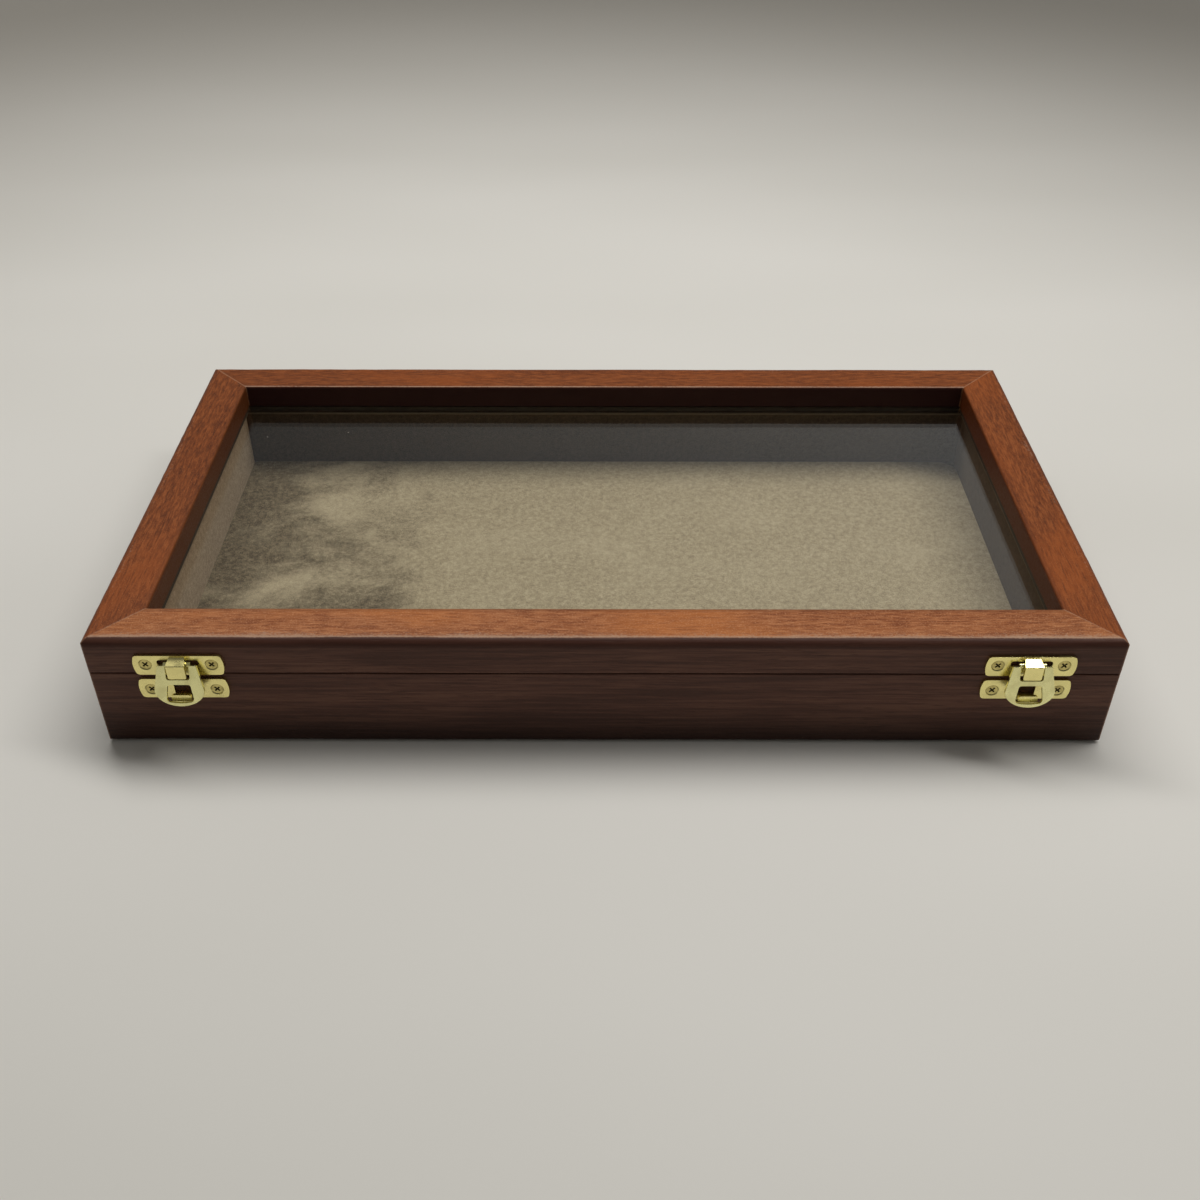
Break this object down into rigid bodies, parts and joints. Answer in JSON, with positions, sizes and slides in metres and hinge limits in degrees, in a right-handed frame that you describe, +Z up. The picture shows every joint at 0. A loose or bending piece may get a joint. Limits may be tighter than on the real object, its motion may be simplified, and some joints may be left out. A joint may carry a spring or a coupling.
{
  "type": "coin display case",
  "caption": "Shallow wooden display case for coins: mitred base with cloth lining, hinged lid with a glass pane, and brass toggle latches on the front.",
  "frame": {"origin": "centre of the wooden case's underside, on the surface that it rests on", "axes": "+X to the right as seen from the latches, +Y towards the hinges at the back, +Z up"},
  "size_m": [0.3, 0.1742, 0.0395],
  "materials": {
    "lid_wood": "stained reddish brown hardwood, satin lacquer, slightly worn edges",
    "base_wood": "stained dark brown hardwood, satin lacquer",
    "bead_wood": "dark stained wood strip",
    "panel_wood": "thin stained hardwood board",
    "lining_card": "stiff grey card",
    "lining_cloth": "taupe suede-like velour with a short nap",
    "pane": "clear float glass, slightly dusty",
    "plate_brass": "bright pale brass plating",
    "screw_brass": "pale brass plating, slightly duller than the plates"
  },
  "bodies": {
    "base": {"base_front_rail": "base_wood", "base_back_rail": "base_wood", "base_left_rail": "base_wood", "base_right_rail": "base_wood", "bottom_panel": "panel_wood", "floor_card": "lining_card", "floor_cloth": "lining_cloth", "front_wall_card": "lining_card", "back_wall_card": "lining_card", "left_wall_card": "lining_card", "right_wall_card": "lining_card", "front_wall_cloth": "lining_cloth", "back_wall_cloth": "lining_cloth", "left_wall_cloth": "lining_cloth", "right_wall_cloth": "lining_cloth", "left_catch_plate": "plate_brass", "right_catch_plate": "plate_brass", "catch_screws": "screw_brass", "left_hinge_base_leaf": "plate_brass", "right_hinge_base_leaf": "plate_brass", "left_hinge_pin": "plate_brass", "right_hinge_pin": "plate_brass", "hinge_base_screws": "screw_brass"},
    "lid": {"lid_front_rail": "lid_wood", "lid_back_rail": "lid_wood", "lid_left_rail": "lid_wood", "lid_right_rail": "lid_wood", "glass_pane": "pane", "front_glass_bead": "bead_wood", "back_glass_bead": "bead_wood", "left_glass_bead": "bead_wood", "right_glass_bead": "bead_wood", "left_latch_plate": "plate_brass", "right_latch_plate": "plate_brass", "latch_screws": "screw_brass", "left_hinge_lid_leaf": "plate_brass", "right_hinge_lid_leaf": "plate_brass", "hinge_lid_screws": "screw_brass"},
    "left_lever_body": {"left_lever": "plate_brass"},
    "right_lever_body": {"right_lever": "plate_brass"}
  },
  "joints": [
    {"name": "lid_hinge", "type": "hinge", "parent": "base", "child": "lid", "pos_m": [0, 0.0842, 0.02735], "axis": [-1, 0, 0], "range_deg": [0, 180]},
    {"name": "left_lever_pivot", "type": "hinge", "parent": "lid", "child": "left_lever_body", "pos_m": [-0.1228, -0.0841, 0.0321], "axis": [-1, 0, 0], "range_deg": [0, 140]},
    {"name": "right_lever_pivot", "type": "hinge", "parent": "lid", "child": "right_lever_body", "pos_m": [0.1228, -0.0841, 0.0321], "axis": [-1, 0, 0], "range_deg": [0, 140]}
  ]
}
